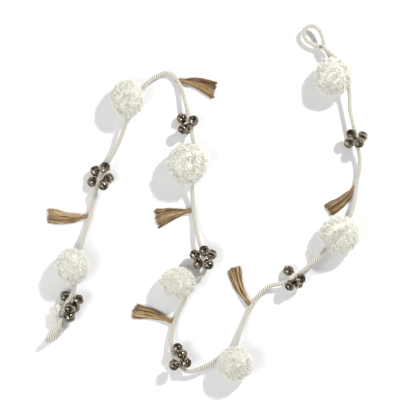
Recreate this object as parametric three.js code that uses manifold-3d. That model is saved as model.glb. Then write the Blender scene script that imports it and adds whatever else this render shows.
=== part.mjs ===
// Pom pom tassel garland, laid out in a winding line on a flat surface.
// A twisted cotton rope ends in a hanging loop at each end. It carries, over and over, a cluster
// of jingle bells, a yarn pompom and a jute tassel: seven clusters, seven pompoms, six tassels.
// Millimetres. +X runs right and +Y up as seen from straight above, and +Z up from the surface.
// The origin lies on the surface, under the middle of everything that the rope carries.

import * as THREE from 'three';
import { mergeVertices } from 'three/addons/utils/BufferGeometryUtils.js';
import { ConvexGeometry } from 'three/addons/geometries/ConvexGeometry.js';
import Module from 'manifold-3d';

const wasm = await Module();
wasm.setup();

// Rope
const ROPE_RADIUS = 4.1;
const ROPE_SIDES = 8;
const ROPE_STEPS = 84;
const CLEARANCE = 0.34;
const END_CLEARANCE = 0.4;

// The run of the rope between its two end loops, a row for each stretch, with what it bears there
const RUN = [
  { x: -236, y: -144, z: 19.8, bears: 'bells_1' },
  { x: -225.5, y: -122, z: 22 },
  { x: -221.5, y: -83.5, z: 28 },
  { x: -199, y: 5, z: 6.3, bears: 'tassel_1' },
  { x: -179.5, y: 71.5, z: 21.3, bears: 'bells_2' },
  { x: -151.5, y: 123.5, z: 18 },
  { x: -118.5, y: 204, z: 28 },
  { x: -92.5, y: 237.5, z: 14 },
  { x: -68, y: 248, z: 7 },
  { x: -51, y: 236, z: 6.3, bears: 'tassel_2' },
  { x: -27.5, y: 158.5, z: 21.5, bears: 'bells_3' },
  { x: -23, y: 123.5, z: 26 },
  { x: -24.5, y: 86, z: 31 },
  { x: -22.5, y: 14, z: 6.3, bears: 'tassel_3' },
  { x: -13, y: -40.5, z: 14 },
  { x: -4, y: -65.5, z: 19.2, bears: 'bells_4' },
  { x: -4, y: -90, z: 18 },
  { x: -27, y: -114, z: 19 },
  { x: -39.5, y: -143, z: 11 },
  { x: -55.5, y: -177.5, z: 6.3, bears: 'tassel_4' },
  { x: -60.5, y: -215, z: 12 },
  { x: -53, y: -239.5, z: 16.8, bears: 'bells_5' },
  { x: -32, y: -260, z: 15 },
  { x: 17.5, y: -239.5, z: 20 },
  { x: 45, y: -220, z: 22 },
  { x: 58.5, y: -188.5, z: 10 },
  { x: 75.5, y: -150, z: 6.3, bears: 'tassel_5' },
  { x: 103, y: -117.5, z: 12 },
  { x: 140.5, y: -105.5, z: 18.5, bears: 'bells_6' },
  { x: 224.5, y: -25, z: 28 },
  { x: 247.5, y: 15, z: 14 },
  { x: 255.5, y: 58.5, z: 6.3, bears: 'tassel_6' },
  { x: 260.5, y: 96.5, z: 12 },
  { x: 254.5, y: 132, z: 19.3, bears: 'bells_7' },
  { x: 243.5, y: 182, z: 19 },
  { x: 240, y: 223, z: 28 },
  { x: 229, y: 251, z: 31 },
  { x: 217.5, y: 271.5, z: 27 },
];

// The end loops: root and tip on the rope's centre line, greatest width between strands, lean of
// the loop's plane about its length, sideways bow, and height between the strands at the root
const LOWER_LOOP = {
  root: new THREE.Vector3(-247, -168, 14.8),
  tip: new THREE.Vector3(-271, -208.5, 14.8),
  width: 21.5, lean: 110, bow: 6.8, rootHeight: 9.5,
};
const UPPER_LOOP = {
  root: new THREE.Vector3(199, 290.5, 15),
  tip: new THREE.Vector3(169, 324.5, 14),
  width: 27, lean: 172, bow: 0, rootHeight: 9.5,
};
const LOOP_PARTS = 10;
// The two sines of the loop's teardrop have this product where it is widest
const LOOP_WIDEST = 0.77;
// How soon the two strands level out on their way from the root
const ROOT_FADE = 5;
// The tail of the upper loop runs back under the rope into the last pompom
const TAIL = [
  { x: 207.5, y: 278.5, z: 11 },
  { x: 216, y: 258.5, z: 17 },
];
// The tail of the lower loop ends in a frayed knot
const KNOT = { x: -250.5, y: -165.5, z: 12.5, radius: 6.8, height: 9 };
// Its tufts fan out between two compass directions, given in degrees from +X
const TUFTS = { count: 9, from: 165, to: 250, reach: 16, rise: 0.45, rootRadius: 2, tipRadius: 1 };
// Yarn is lumpy: a ball of it swells and sinks by this share of its radius, twice over
const LUMP_SHARE = 0.03;

// Pompoms: centre and radius of the pile
const POMPOMS = [
  { x: -228, y: -80, radius: 29 },
  { x: -135.5, y: 204, radius: 30 },
  { x: -32, y: 93, radius: 34 },
  { x: -47.5, y: -109, radius: 28 },
  { x: 46.5, y: -244, radius: 28.5 },
  { x: 224.5, y: -27, radius: 32 },
  { x: 216, y: 241.5, radius: 31 },
];
const POMPOM_LOCKS = 26;
const CORE_SHARE = 0.87;
const SAG_SHARE = 0.93;
const LOCK_TIP_SHARE = 0.34;
const LOCK_UNEVENNESS = 0.05;
// Locks keep this many rope radii away from the rope's centre line
const LOCKS_CLEAR_ROPE = 2.5;
// The lowest that the hidden core of a pile may reach
const CORE_LOWEST = 0.8;

// Tassels: middle of the cut end, its width, and how far the middle of the skirt bows sideways
const TASSELS = [
  { x: -269.5, y: 4, width: 23, bend: 4 },
  { x: 12.5, y: 219.5, width: 29, bend: 4 },
  { x: -85, y: -1, width: 31, bend: -2 },
  { x: -123.5, y: -158.5, width: 23, bend: -3 },
  { x: 46.5, y: -86.5, width: 22, bend: 5 },
  { x: 209, y: 14, width: 23, bend: 5 },
];
// The fold passes under the rope: the part of a ring round it that lies this far below its middle
const FOLD_RADIUS = 5.7;
const FOLD_WIDTH = 6.5;
const FOLD_DROP = 2.6;
// The bound neck starts under the rope's edge and sinks as it leaves the rope
const NECK_START = 2;
const NECK_LENGTH = 14;
const NECK_RADIUS = 2.9;
const NECK_SIDES = 6;
const NECK_DROP = 1.2;
const NECK_SINK = 1;
// The skirt: strands in two layers, which leave the neck together and rest on the floor from here on
const TASSEL_STRANDS = 8;
const ROOT_SPREAD = 3.4;
const ROOT_DROP = 3.1;
const ROOT_RISE = 2.2;
const REST_AT = 28;
const STRAND_THICKNESS = 2;
const STRAND_SHARE = 0.82;
const LAYER_RISE = 2.4;
const CUT_UNEVENNESS = 0.03;

// Jingle bells. The shoulder is the corner of the squarish dome, as far out as it is up.
const BELL_RADIUS = 8.8;
const BELL_SHOULDER = 6.5;
const RIM_RADIUS = 9.7;
const RIM_HALF = 0.6;
const BELL_SIDES = 8;
const SLOT_WIDTH = 2.2;
const SLOT_LENGTH = 12.5;
const SLOT_DEPTH = 3;
const SHANK_RING = 1.9;
const SHANK_WIRE = 0.65;
const SHANK_RISE = 0.6;
// Thread that is wound round the rope under each cluster
const THREAD_RADIUS = 5.1;
const THREAD_LENGTH = 14;
const THREAD_SIDES = 12;
const THREAD_STEPS = 2;
const BELL_GAP = 0.54;
// A bell this far past the end of the thread leans on the bare rope
const PAST_THREAD = 4.4;
const SHANK_TILT = 47;

// Each bell sits by the rope of its cluster: how far along the rope from the middle of the
// cluster, and the turn about the rope in degrees, where 0 is straight up
const BELLS = [
  { cluster: 1, along: 7, turn: -138 },
  { cluster: 1, along: 15, turn: 72 },
  { cluster: 1, along: -2, turn: 27 },
  { cluster: 1, along: -2, turn: 114 },
  { cluster: 1, along: -19.2, turn: 75 },
  { cluster: 2, along: 6, turn: -111 },
  { cluster: 2, along: 17, turn: 2 },
  { cluster: 2, along: 1, turn: 129 },
  { cluster: 2, along: -9, turn: 36 },
  { cluster: 2, along: -14, turn: -120 },
  { cluster: 3, along: -14, turn: 124 },
  { cluster: 3, along: 8, turn: 71 },
  { cluster: 3, along: 0, turn: -24 },
  { cluster: 3, along: 6, turn: 150 },
  { cluster: 4, along: -8, turn: 71 },
  { cluster: 4, along: -8.4, turn: -14 },
  { cluster: 4, along: -1, turn: -117 },
  { cluster: 4, along: 12.4, turn: 128 },
  { cluster: 4, along: 11, turn: -25 },
  { cluster: 5, along: -16, turn: -46 },
  { cluster: 5, along: 0.8, turn: -115 },
  { cluster: 5, along: 4, turn: 28 },
  { cluster: 5, along: 14, turn: -54 },
  { cluster: 6, along: -4, turn: -126 },
  { cluster: 6, along: 10, turn: 33 },
  { cluster: 6, along: -10.8, turn: 48 },
  { cluster: 6, along: 1.5, turn: 105 },
  { cluster: 7, along: 11, turn: -36 },
  { cluster: 7, along: 2, turn: 128 },
  { cluster: 7, along: -4, turn: -120 },
  { cluster: 7, along: -5, turn: 4 },
];

const UP = new THREE.Vector3(0, 0, 1);
const radians = THREE.MathUtils.degToRad;

const cotton = () => new THREE.MeshStandardMaterial({ color: 0xece6d6, roughness: 0.9 });
const yarn = () => new THREE.MeshStandardMaterial({ color: 0xf3f1e6, roughness: 0.95 });
const jute = () => new THREE.MeshStandardMaterial({ color: 0xb28c62, roughness: 0.85 });
const nickel = () => new THREE.MeshStandardMaterial({ color: 0x9a958c, roughness: 0.25, metalness: 1 });
const thread = () => new THREE.MeshStandardMaterial({ color: 0xe8e2d0, roughness: 0.9 });

// Solids: a closed geometry becomes a manifold for cutting and joining, and comes back as one

function solid(geometry) {
  const bare = new THREE.BufferGeometry();
  bare.setAttribute('position', geometry.getAttribute('position').clone());
  if (geometry.index) bare.setIndex(geometry.index.clone());
  const merged = mergeVertices(bare, 1e-3);
  const index = merged.index.array;
  const kept = [];
  for (let i = 0; i < index.length; i += 3) {
    const [a, b, c] = [index[i], index[i + 1], index[i + 2]];
    if (a !== b && b !== c && c !== a) kept.push(a, b, c);
  }
  const vertProperties = Float32Array.from(merged.getAttribute('position').array);
  const fill = (corners) => {
    const triVerts = Uint32Array.from(corners);
    return new wasm.Manifold(new wasm.Mesh({ numProp: 3, vertProperties, triVerts }));
  };
  const made = fill(kept);
  return made.volume() < 0 ? fill(kept.reverse()) : made;
}

function surface(made) {
  const { vertProperties, triVerts } = made.getMesh();
  const geometry = new THREE.BufferGeometry();
  geometry.setAttribute('position', new THREE.BufferAttribute(Float32Array.from(vertProperties), 3));
  geometry.setIndex(new THREE.BufferAttribute(Uint32Array.from(triVerts), 1));
  geometry.computeVertexNormals();
  return geometry;
}

// The largest piece of a cut solid, without crumbs that the cut left beside it
function largest(made) {
  const pieces = made.decompose();
  return pieces.reduce((best, piece) => (piece.volume() > best.volume() ? piece : best));
}

// Route of the rope

function loopPoints({ root, tip, width, lean, bow, rootHeight }) {
  const length = tip.clone().sub(root);
  const flat = UP.clone().cross(length).normalize();
  const over = length.clone().normalize().cross(flat);
  const side = flat.clone().multiplyScalar(Math.cos(radians(lean)));
  side.addScaledVector(over, Math.sin(radians(lean)));
  const points = [];
  for (let i = 0; i <= LOOP_PARTS; i += 1) {
    const turn = Math.PI * (i / LOOP_PARTS);
    const out = (1 - Math.cos(2 * turn)) / 2;
    const across = (width / 2 / LOOP_WIDEST) * Math.sin(2 * turn) * Math.sin(turn);
    const point = root.clone().addScaledVector(length, out);
    point.addScaledVector(side, across);
    point.addScaledVector(flat, bow * Math.sin(Math.PI * out));
    point.z += (rootHeight / 2) * Math.cos(turn) ** ROOT_FADE;
    points.push(point);
  }
  return points;
}

const toVector = ({ x, y, z }) => new THREE.Vector3(x, y, z);
const lowerLoop = loopPoints(LOWER_LOOP);
const route = [...lowerLoop, ...RUN.map(toVector), ...loopPoints(UPPER_LOOP), ...TAIL.map(toVector)];
const centreLine = new THREE.CatmullRomCurve3(route);

// The rope's centre line, walked by route points, so that the tight bends get the short steps
class RopePath extends THREE.Curve {
  constructor(overrun = 0) {
    super();
    this.overrun = overrun;
  }

  getPointAt(u) {
    const point = centreLine.getPoint(u);
    if (u === 0) point.addScaledVector(this.getTangentAt(0), -this.overrun);
    if (u === 1) point.addScaledVector(this.getTangentAt(1), this.overrun);
    return point;
  }

  getTangentAt(u) {
    return centreLine.getTangent(u);
  }
}

const stations = Array.from({ length: ROPE_STEPS + 1 }, (_, i) => centreLine.getPoint(i / ROPE_STEPS));
const marks = [0];
for (let i = 1; i <= ROPE_STEPS; i += 1) marks.push(marks[i - 1] + stations[i].distanceTo(stations[i - 1]));

function roundSection(radius, sides) {
  const corners = Array.from({ length: sides }, (_, i) => {
    const turn = (2 * Math.PI * i) / sides;
    return new THREE.Vector2(radius * Math.cos(turn), radius * Math.sin(turn));
  });
  return new THREE.Shape(corners);
}

function ropeTube(radius, overrun = 0) {
  const options = { steps: ROPE_STEPS, bevelEnabled: false, extrudePath: new RopePath(overrun) };
  return solid(new THREE.ExtrudeGeometry(roundSection(radius, ROPE_SIDES), options));
}

// A place on the rope: the point, the direction of its step and the two directions across it
function placeOnRope(name, along = 0) {
  const index = lowerLoop.length + RUN.findIndex((row) => row.bears === name);
  const station = (index / (route.length - 1)) * ROPE_STEPS;
  const first = Math.floor(station);
  const mark = THREE.MathUtils.lerp(marks[first], marks[first + 1], station - first) + along;
  const step = marks.findIndex((m, i) => i > 0 && m >= mark);
  const share = (mark - marks[step - 1]) / (marks[step] - marks[step - 1]);
  const point = stations[step - 1].clone().lerp(stations[step], share);
  const forward = stations[step].clone().sub(stations[step - 1]).normalize();
  const upward = UP.clone().addScaledVector(forward, -forward.z).normalize();
  const sideways = forward.clone().cross(upward);
  return { point, forward, upward, sideways };
}

function distanceToRope(point) {
  const nearest = new THREE.Vector3();
  const chord = new THREE.Line3();
  let least = Infinity;
  for (let i = 1; i <= ROPE_STEPS; i += 1) {
    chord.set(stations[i - 1], stations[i]).closestPointToPoint(point, true, nearest);
    least = Math.min(least, nearest.distanceTo(point));
  }
  return least;
}

const ropeClearance = ropeTube(ROPE_RADIUS + CLEARANCE, END_CLEARANCE);

// A ball of yarn with soft lumps, no lower than the given height

function lumpyBall(centre, radii, lowest, detail) {
  const ball = new THREE.IcosahedronGeometry(1, detail);
  const position = ball.getAttribute('position');
  const point = new THREE.Vector3();
  for (let i = 0; i < position.count; i += 1) {
    point.fromBufferAttribute(position, i).normalize();
    const swell = Math.sin(5 * point.x + centre.x) + Math.sin(6 * point.y + 4 * point.z);
    point.multiply(radii).multiplyScalar(1 + LUMP_SHARE * swell).add(centre);
    point.z = Math.max(point.z, lowest);
    position.setXYZ(i, point.x, point.y, point.z);
  }
  return ball;
}

// Pompom: a dense ball of cut yarn round the rope. Faces of the ball that share no corner are
// drawn out into three-sided locks, and a lock that would pass the floor is cut level on it.

function pompom({ x, y, radius }, turned) {
  const centre = new THREE.Vector3(x, y, SAG_SHARE * radius);
  const core = CORE_SHARE * radius;
  const ball = lumpyBall(centre, new THREE.Vector3(core, core, core), CORE_LOWEST, 2);
  const corners = ball.getAttribute('position');
  const keyOf = (point) => point.toArray().map((v) => v.toFixed(2)).join();
  const triangles = [];
  const taken = new Set();
  let locks = 0;
  for (let i = 0; i < corners.count; i += 3) {
    const face = [0, 1, 2].map((k) => new THREE.Vector3().fromBufferAttribute(corners, i + k));
    const middle = face[0].clone().add(face[1]).add(face[2]).divideScalar(3);
    const direction = middle.clone().sub(centre).normalize();
    const reach = radius * (1 + LOCK_UNEVENNESS * Math.sin(i + turned));
    const tip = centre.clone().addScaledVector(direction, reach);
    const free = face.every((point) => !taken.has(keyOf(point)));
    const nearRope = distanceToRope(middle) < LOCKS_CLEAR_ROPE * ROPE_RADIUS;
    if (!free || nearRope || locks === POMPOM_LOCKS) {
      triangles.push(...face);
      continue;
    }
    locks += 1;
    face.forEach((point) => taken.add(keyOf(point)));
    const end = face.map((point) => {
      const drawn = point.clone().sub(middle).multiplyScalar(LOCK_TIP_SHARE).add(tip);
      if (drawn.z < 0) drawn.addScaledVector(direction, -drawn.z / direction.z);
      return drawn;
    });
    for (const [a, b] of [[0, 1], [1, 2], [2, 0]]) {
      triangles.push(face[a], face[b], end[b], face[a], end[b], end[a]);
    }
    triangles.push(...end);
  }
  const pile = solid(new THREE.BufferGeometry().setFromPoints(triangles));
  return largest(pile.subtract(ropeClearance));
}

// Tassel: jute folded over the rope, bound in a neck and spread in two layers that lie on the floor

function tube(rings) {
  const points = rings.flat();
  const sides = rings[0].length;
  const index = [];
  for (let r = 0; r + 1 < rings.length; r += 1) {
    for (let i = 0; i < sides; i += 1) {
      const a = r * sides + i;
      const b = r * sides + ((i + 1) % sides);
      index.push(a, b, b + sides, a, b + sides, a + sides);
    }
  }
  const last = (rings.length - 1) * sides;
  for (let i = 1; i + 1 < sides; i += 1) {
    index.push(0, i + 1, i);
    index.push(last, last + i, last + i + 1);
  }
  const geometry = new THREE.BufferGeometry().setFromPoints(points);
  geometry.setIndex(index);
  return solid(geometry);
}

function tassel({ x, y, width, bend }, name) {
  const { point: seat, forward } = placeOnRope(name);
  const end = new THREE.Vector3(x, y, 0);
  const out = end.clone().sub(seat).setZ(0);
  const length = out.length();
  out.normalize();
  const across = UP.clone().cross(out);

  const fold = new THREE.CylinderGeometry(FOLD_RADIUS, FOLD_RADIUS, FOLD_WIDTH, ROPE_SIDES);
  fold.applyQuaternion(new THREE.Quaternion().setFromUnitVectors(new THREE.Vector3(0, 1, 0), forward));
  fold.translate(seat.x, seat.y, seat.z);
  let body = solid(fold).trimByPlane([0, 0, -1], FOLD_DROP - seat.z);

  const onSkirt = (distance, sideways, height) => {
    const share = distance / length;
    const point = seat.clone().addScaledVector(out, distance).setZ(height);
    return point.addScaledVector(across, sideways + bend * Math.sin(Math.PI * share));
  };

  const neckRing = (distance, height) => Array.from({ length: NECK_SIDES }, (_, i) => {
    const turn = (2 * Math.PI * i) / NECK_SIDES;
    return onSkirt(distance, -NECK_RADIUS * Math.cos(turn), height + NECK_RADIUS * Math.sin(turn));
  });
  const neckHeight = seat.z - NECK_DROP;
  body = body.add(tube([
    neckRing(NECK_START, neckHeight),
    neckRing(NECK_START + NECK_LENGTH, neckHeight - NECK_SINK),
  ]));

  const half = STRAND_THICKNESS / 2;
  for (const layer of [0, 1]) {
    const strands = TASSEL_STRANDS - layer;
    for (let k = 0; k < strands; k += 1) {
      const cut = length * (1 - CUT_UNEVENNESS * Math.abs(Math.sin(5 * k + x + layer)));
      const ring = (distance, height, spread) => {
        const pitch = spread / TASSEL_STRANDS;
        const middle = (k - (strands - 1) / 2) * pitch;
        const wide = (STRAND_SHARE / 2) * pitch;
        return [[-wide, -half], [wide, -half], [wide, half], [-wide, half]].map(
          ([sideways, rise]) => onSkirt(distance, middle + sideways, height + rise),
        );
      };
      const resting = half + layer * LAYER_RISE;
      const spreadAt = (distance) => {
        return THREE.MathUtils.mapLinear(distance, NECK_LENGTH, length, ROOT_SPREAD, width);
      };
      body = body.add(tube([
        ring(NECK_LENGTH, seat.z - ROOT_DROP + ROOT_RISE * layer, ROOT_SPREAD),
        ring(REST_AT, resting, spreadAt(REST_AT)),
        ring(cut, resting, spreadAt(cut)),
      ]));
    }
  }
  return largest(body.subtract(ropeClearance));
}

// Jingle bell: a pressed ball with a rim round its middle, crossed slots and a wire shank

function jingleBell() {
  const profile = [
    new THREE.Vector2(0, -BELL_RADIUS),
    new THREE.Vector2(BELL_SHOULDER, -BELL_SHOULDER),
    new THREE.Vector2(RIM_RADIUS, -RIM_HALF),
    new THREE.Vector2(RIM_RADIUS, RIM_HALF),
    new THREE.Vector2(BELL_SHOULDER, BELL_SHOULDER),
    new THREE.Vector2(0, BELL_RADIUS),
  ];
  const shell = new THREE.LatheGeometry(profile, BELL_SIDES);
  shell.rotateX(Math.PI / 2);
  let body = solid(shell);
  for (const turn of [0, Math.PI / 2]) {
    const slot = new THREE.BoxGeometry(SLOT_LENGTH, SLOT_WIDTH, 2 * SLOT_DEPTH);
    slot.rotateZ(turn);
    slot.translate(0, 0, -BELL_RADIUS);
    body = body.subtract(solid(slot));
  }
  const shank = new THREE.TorusGeometry(SHANK_RING, SHANK_WIRE, 3, 6);
  shank.rotateX(Math.PI / 2);
  shank.translate(0, 0, BELL_RADIUS + SHANK_RISE);
  return surface(body.add(solid(shank)));
}

// A bell leans on the thread with its shoulder, or on the bare rope past the end of the thread, and
// its shank points along the rope to the middle of the cluster
function seatBell(mesh, { cluster, along, turn }) {
  const { point, forward, upward, sideways } = placeOnRope(`bells_${cluster}`, along);
  const outward = upward.clone().multiplyScalar(Math.cos(radians(turn)));
  outward.addScaledVector(sideways, Math.sin(radians(turn)));
  const toMiddle = forward.clone().multiplyScalar(along > 0 ? -1 : 1);
  const shankWay = outward.clone().multiplyScalar(-Math.cos(radians(SHANK_TILT)));
  shankWay.addScaledVector(toMiddle, Math.sin(radians(SHANK_TILT)));
  const wide = outward.clone().cross(forward).normalize();
  const deep = shankWay.clone().cross(wide);
  mesh.quaternion.setFromRotationMatrix(new THREE.Matrix4().makeBasis(wide, deep, shankWay));
  const past = THREE.MathUtils.clamp((Math.abs(along) - THREAD_LENGTH / 2) / PAST_THREAD, 0, 1);
  const seat = THREE.MathUtils.lerp(THREAD_RADIUS, ROPE_RADIUS, past);
  const shoulderReach = Math.SQRT2 * BELL_SHOULDER;
  mesh.position.copy(point).addScaledVector(outward, seat + BELL_GAP + shoulderReach);
}

// Thread wound round the rope, which follows the rope's own steps
function threadWinding(name) {
  const points = [-THREAD_LENGTH / 2, 0, THREAD_LENGTH / 2].map((along) => placeOnRope(name, along).point);
  const path = new THREE.CatmullRomCurve3(points);
  const section = roundSection(THREAD_RADIUS, THREAD_SIDES);
  const options = { steps: THREAD_STEPS, bevelEnabled: false, extrudePath: path };
  const winding = new THREE.ExtrudeGeometry(section, options);
  return largest(solid(winding).subtract(ropeClearance));
}

// Frayed knot: the rope's end, knotted round the standing strand and teased out into three-sided tufts

function tuft(centre, direction, to) {
  const { rootRadius, tipRadius } = TUFTS;
  const across = new THREE.Vector3(0.3, 0.5, 0.81).cross(direction).normalize();
  const other = direction.clone().cross(across);
  const corners = [];
  for (const [reach, radius] of [[rootRadius, rootRadius], [to, tipRadius]]) {
    for (let i = 0; i < 3; i += 1) {
      const turn = (2 * Math.PI * i) / 3;
      const corner = centre.clone().addScaledVector(direction, reach);
      corner.addScaledVector(across, radius * Math.cos(turn));
      corner.addScaledVector(other, radius * Math.sin(turn));
      corners.push(corner);
    }
  }
  return solid(new ConvexGeometry(corners));
}

function frayedKnot({ x, y, z, radius, height }) {
  const centre = new THREE.Vector3(x, y, z);
  let body = solid(lumpyBall(centre, new THREE.Vector3(radius, radius, height), CORE_LOWEST, 1));
  for (let i = 0; i < TUFTS.count; i += 1) {
    const around = radians(THREE.MathUtils.lerp(TUFTS.from, TUFTS.to, i / (TUFTS.count - 1)));
    const rise = TUFTS.rise * Math.cos(2.2 * i);
    const direction = new THREE.Vector3(Math.cos(around), Math.sin(around), rise).normalize();
    const to = TUFTS.reach * (1 - 0.2 * Math.abs(Math.sin(1.7 * i)));
    const nearTip = centre.clone().addScaledVector(direction, 0.8 * to);
    if (distanceToRope(nearTip) < ROPE_RADIUS + TUFTS.rootRadius) continue;
    body = body.add(tuft(centre, direction, to));
  }
  return largest(body.subtract(ropeClearance));
}

// Assembly

const garland = new THREE.Group();

function addPiece(name, geometry, material) {
  const mesh = new THREE.Mesh(geometry, material);
  mesh.name = name;
  garland.add(mesh);
  return mesh;
}

addPiece('rope', surface(ropeTube(ROPE_RADIUS)), cotton());
addPiece('frayed_knot', surface(frayedKnot(KNOT)), cotton());

POMPOMS.forEach((row, i) => {
  addPiece(`pompom_${i + 1}`, surface(pompom(row, 0.9 * i)), yarn());
});

TASSELS.forEach((row, i) => {
  const name = `tassel_${i + 1}`;
  addPiece(name, surface(tassel(row, name)), jute());
});

const clusters = new Set(BELLS.map((row) => row.cluster));
for (const cluster of clusters) {
  addPiece(`bell_thread_${cluster}`, surface(threadWinding(`bells_${cluster}`)), thread());
}

const bell = jingleBell();
for (const cluster of clusters) {
  const rows = BELLS.filter((row) => row.cluster === cluster);
  rows.forEach((row, i) => {
    seatBell(addPiece(`bell_${cluster}_${i + 1}`, bell, nickel()), row);
  });
}

export default garland;
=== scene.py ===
import bpy
import numpy as np
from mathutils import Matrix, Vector


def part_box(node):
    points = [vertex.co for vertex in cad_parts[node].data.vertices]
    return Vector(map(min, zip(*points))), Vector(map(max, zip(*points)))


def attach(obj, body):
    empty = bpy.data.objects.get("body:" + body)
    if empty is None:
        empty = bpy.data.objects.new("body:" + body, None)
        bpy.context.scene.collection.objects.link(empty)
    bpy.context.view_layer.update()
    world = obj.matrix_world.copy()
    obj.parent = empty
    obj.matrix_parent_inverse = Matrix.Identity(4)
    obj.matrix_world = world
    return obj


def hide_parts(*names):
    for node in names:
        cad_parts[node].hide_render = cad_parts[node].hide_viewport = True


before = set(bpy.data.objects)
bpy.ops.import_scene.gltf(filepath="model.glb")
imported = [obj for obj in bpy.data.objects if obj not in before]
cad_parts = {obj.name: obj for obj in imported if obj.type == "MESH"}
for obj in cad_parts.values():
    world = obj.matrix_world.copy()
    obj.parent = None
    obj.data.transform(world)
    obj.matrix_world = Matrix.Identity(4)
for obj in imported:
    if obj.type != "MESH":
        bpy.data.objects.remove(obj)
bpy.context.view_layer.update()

# Camera: straight above the layout, high up with a long lens, so that the pompoms near the edges
# barely lean outwards.

VIEW_MIDDLE = (-0.01146, 0.03129)
VIEW_WIDTH = 0.684
CAMERA_HEIGHT = 2.4
SENSOR = 36
FARTHEST_SEEN = 30

camera = bpy.data.objects.new("camera", bpy.data.cameras.new("camera"))
camera.data.sensor_width = SENSOR
camera.data.lens = SENSOR * CAMERA_HEIGHT / VIEW_WIDTH
camera.data.clip_end = FARTHEST_SEEN
camera.location = (*VIEW_MIDDLE, CAMERA_HEIGHT)
bpy.context.scene.collection.objects.link(camera)
bpy.context.scene.camera = camera

# Rope: 8 mm cotton rope of three strands laid up hard, with a hanging loop at each end. It runs
# through every pompom and tassel, and its last end is hidden in the pompom at the upper right.

# The run of the rope between its two end loops, in metres
RUN = [
    (-0.236, -0.144, 0.0198), (-0.2255, -0.122, 0.022), (-0.2215, -0.0835, 0.028),
    (-0.199, 0.005, 0.0063), (-0.1795, 0.0715, 0.0213), (-0.1515, 0.1235, 0.018),
    (-0.1185, 0.204, 0.028), (-0.0925, 0.2375, 0.014), (-0.068, 0.248, 0.007),
    (-0.051, 0.236, 0.0063), (-0.0275, 0.1585, 0.0215), (-0.023, 0.1235, 0.026),
    (-0.0245, 0.086, 0.031), (-0.0225, 0.014, 0.0063), (-0.013, -0.0405, 0.014),
    (-0.004, -0.0655, 0.0192), (-0.004, -0.090, 0.018), (-0.027, -0.114, 0.019),
    (-0.0395, -0.143, 0.011), (-0.0555, -0.1775, 0.0063), (-0.0605, -0.215, 0.012),
    (-0.053, -0.2395, 0.0168), (-0.032, -0.260, 0.015), (0.0175, -0.2395, 0.020),
    (0.045, -0.220, 0.022), (0.0585, -0.1885, 0.010), (0.0755, -0.150, 0.0063),
    (0.103, -0.1175, 0.012), (0.1405, -0.1055, 0.0185), (0.2245, -0.025, 0.028),
    (0.2475, 0.015, 0.014), (0.2555, 0.0585, 0.0063), (0.2605, 0.0965, 0.012),
    (0.2545, 0.132, 0.0193), (0.2435, 0.182, 0.019), (0.240, 0.223, 0.028),
    (0.229, 0.251, 0.031), (0.2175, 0.2715, 0.027),
]
# The tail of the upper loop runs back under the rope into the last pompom
TAIL = [(0.2075, 0.2785, 0.011), (0.216, 0.2585, 0.017)]
# Each end loop: its root, its tip, its width, how far its plane leans about its length in degrees
# and how far it bows to the side
LOWER_LOOP = {
    "root": (-0.247, -0.168, 0.0148), "tip": (-0.271, -0.2085, 0.0148),
    "width": 0.0215, "lean": 110, "bow": 0.0068}
UPPER_LOOP = {
    "root": (0.199, 0.2905, 0.015), "tip": (0.169, 0.3245, 0.014),
    "width": 0.027, "lean": 172, "bow": 0}
LOOP_PARTS = 10
# The most that sin 2t sin t comes to
LOOP_WIDEST = 0.77
# How far one end of a loop lies above the other where they cross at its root
ROOT_HEIGHT = 0.0095
SPAN_STEPS = 60
ROPE_RADIUS = 0.0041
ROPE_STRANDS = 3
# The length in which a strand goes round once, and a groove's depth as a share of the radius
ROPE_LAY = 0.0126
STRAND_GROOVE = 0.46
ROPE_STEP = 0.001
ROPE_AROUND = 24
# How far the pattern of fibres moves on in a metre of rope. Round the rope it moves on by 1 in each
# radius, four times as fast, so the fibres look long.
FIBRES_ALONG = 60
UP = np.array([0.0, 0.0, 1.0])


def unit(vectors):
    """Each vector over its own length."""
    return vectors / np.linalg.norm(vectors, axis=-1, keepdims=True)


def loop_points(root, tip, width, lean, bow):
    """Teardrop from root to tip and back: out = (1 - cos 2t) / 2 along it and sin 2t sin t across
    it, for t from 0 to pi. Its plane leans about its length, and its two ends lie one over the
    other at the root."""
    root = np.array(root)
    length = np.array(tip) - root
    flat = unit(np.cross(UP, length))
    over = np.cross(unit(length), flat)
    side = np.cos(np.radians(lean)) * flat + np.sin(np.radians(lean)) * over
    turn = np.linspace(0, np.pi, LOOP_PARTS + 1)[:, None]
    out = (1 - np.cos(2 * turn)) / 2
    across = width / 2 / LOOP_WIDEST * np.sin(2 * turn) * np.sin(turn)
    rise = ROOT_HEIGHT / 2 * np.cos(turn) ** 5
    return root + length * out + side * across + flat * bow * np.sin(np.pi * out) + UP * rise


def smooth_line(route):
    """Centripetal Catmull-Rom curve: a cubic for each span of the route, whose slopes at its two
    ends weigh the neighbouring chords by the square roots of their lengths."""
    held = np.vstack([2 * route[0] - route[1], route, 2 * route[-1] - route[-2]])
    before, start, end, after = held[:-3], held[1:-2], held[2:-1], held[3:]
    first, middle, last = [
        np.linalg.norm(b - a, axis=1, keepdims=True) ** 0.5
        for a, b in ((before, start), (start, end), (end, after))
    ]
    leave = (start - before) / first - (end - before) / (first + middle) + (end - start) / middle
    arrive = (end - start) / middle - (after - start) / (middle + last) + (after - end) / last
    leave, arrive = leave * middle, arrive * middle
    square = 3 * (end - start) - 2 * leave - arrive
    cube = 2 * (start - end) + leave + arrive
    t = (np.arange(SPAN_STEPS) / SPAN_STEPS)[None, :, None]
    spans = start[:, None] + leave[:, None] * t + square[:, None] * t**2 + cube[:, None] * t**3
    return np.vstack([spans.reshape(-1, 3), route[-1]])


def read_off(marks, run, values):
    """The rows of values at the given marks, in proportion between the two nearest lengths run."""
    return np.stack([np.interp(marks, run, values[:, k]) for k in range(3)], axis=1)


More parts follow.
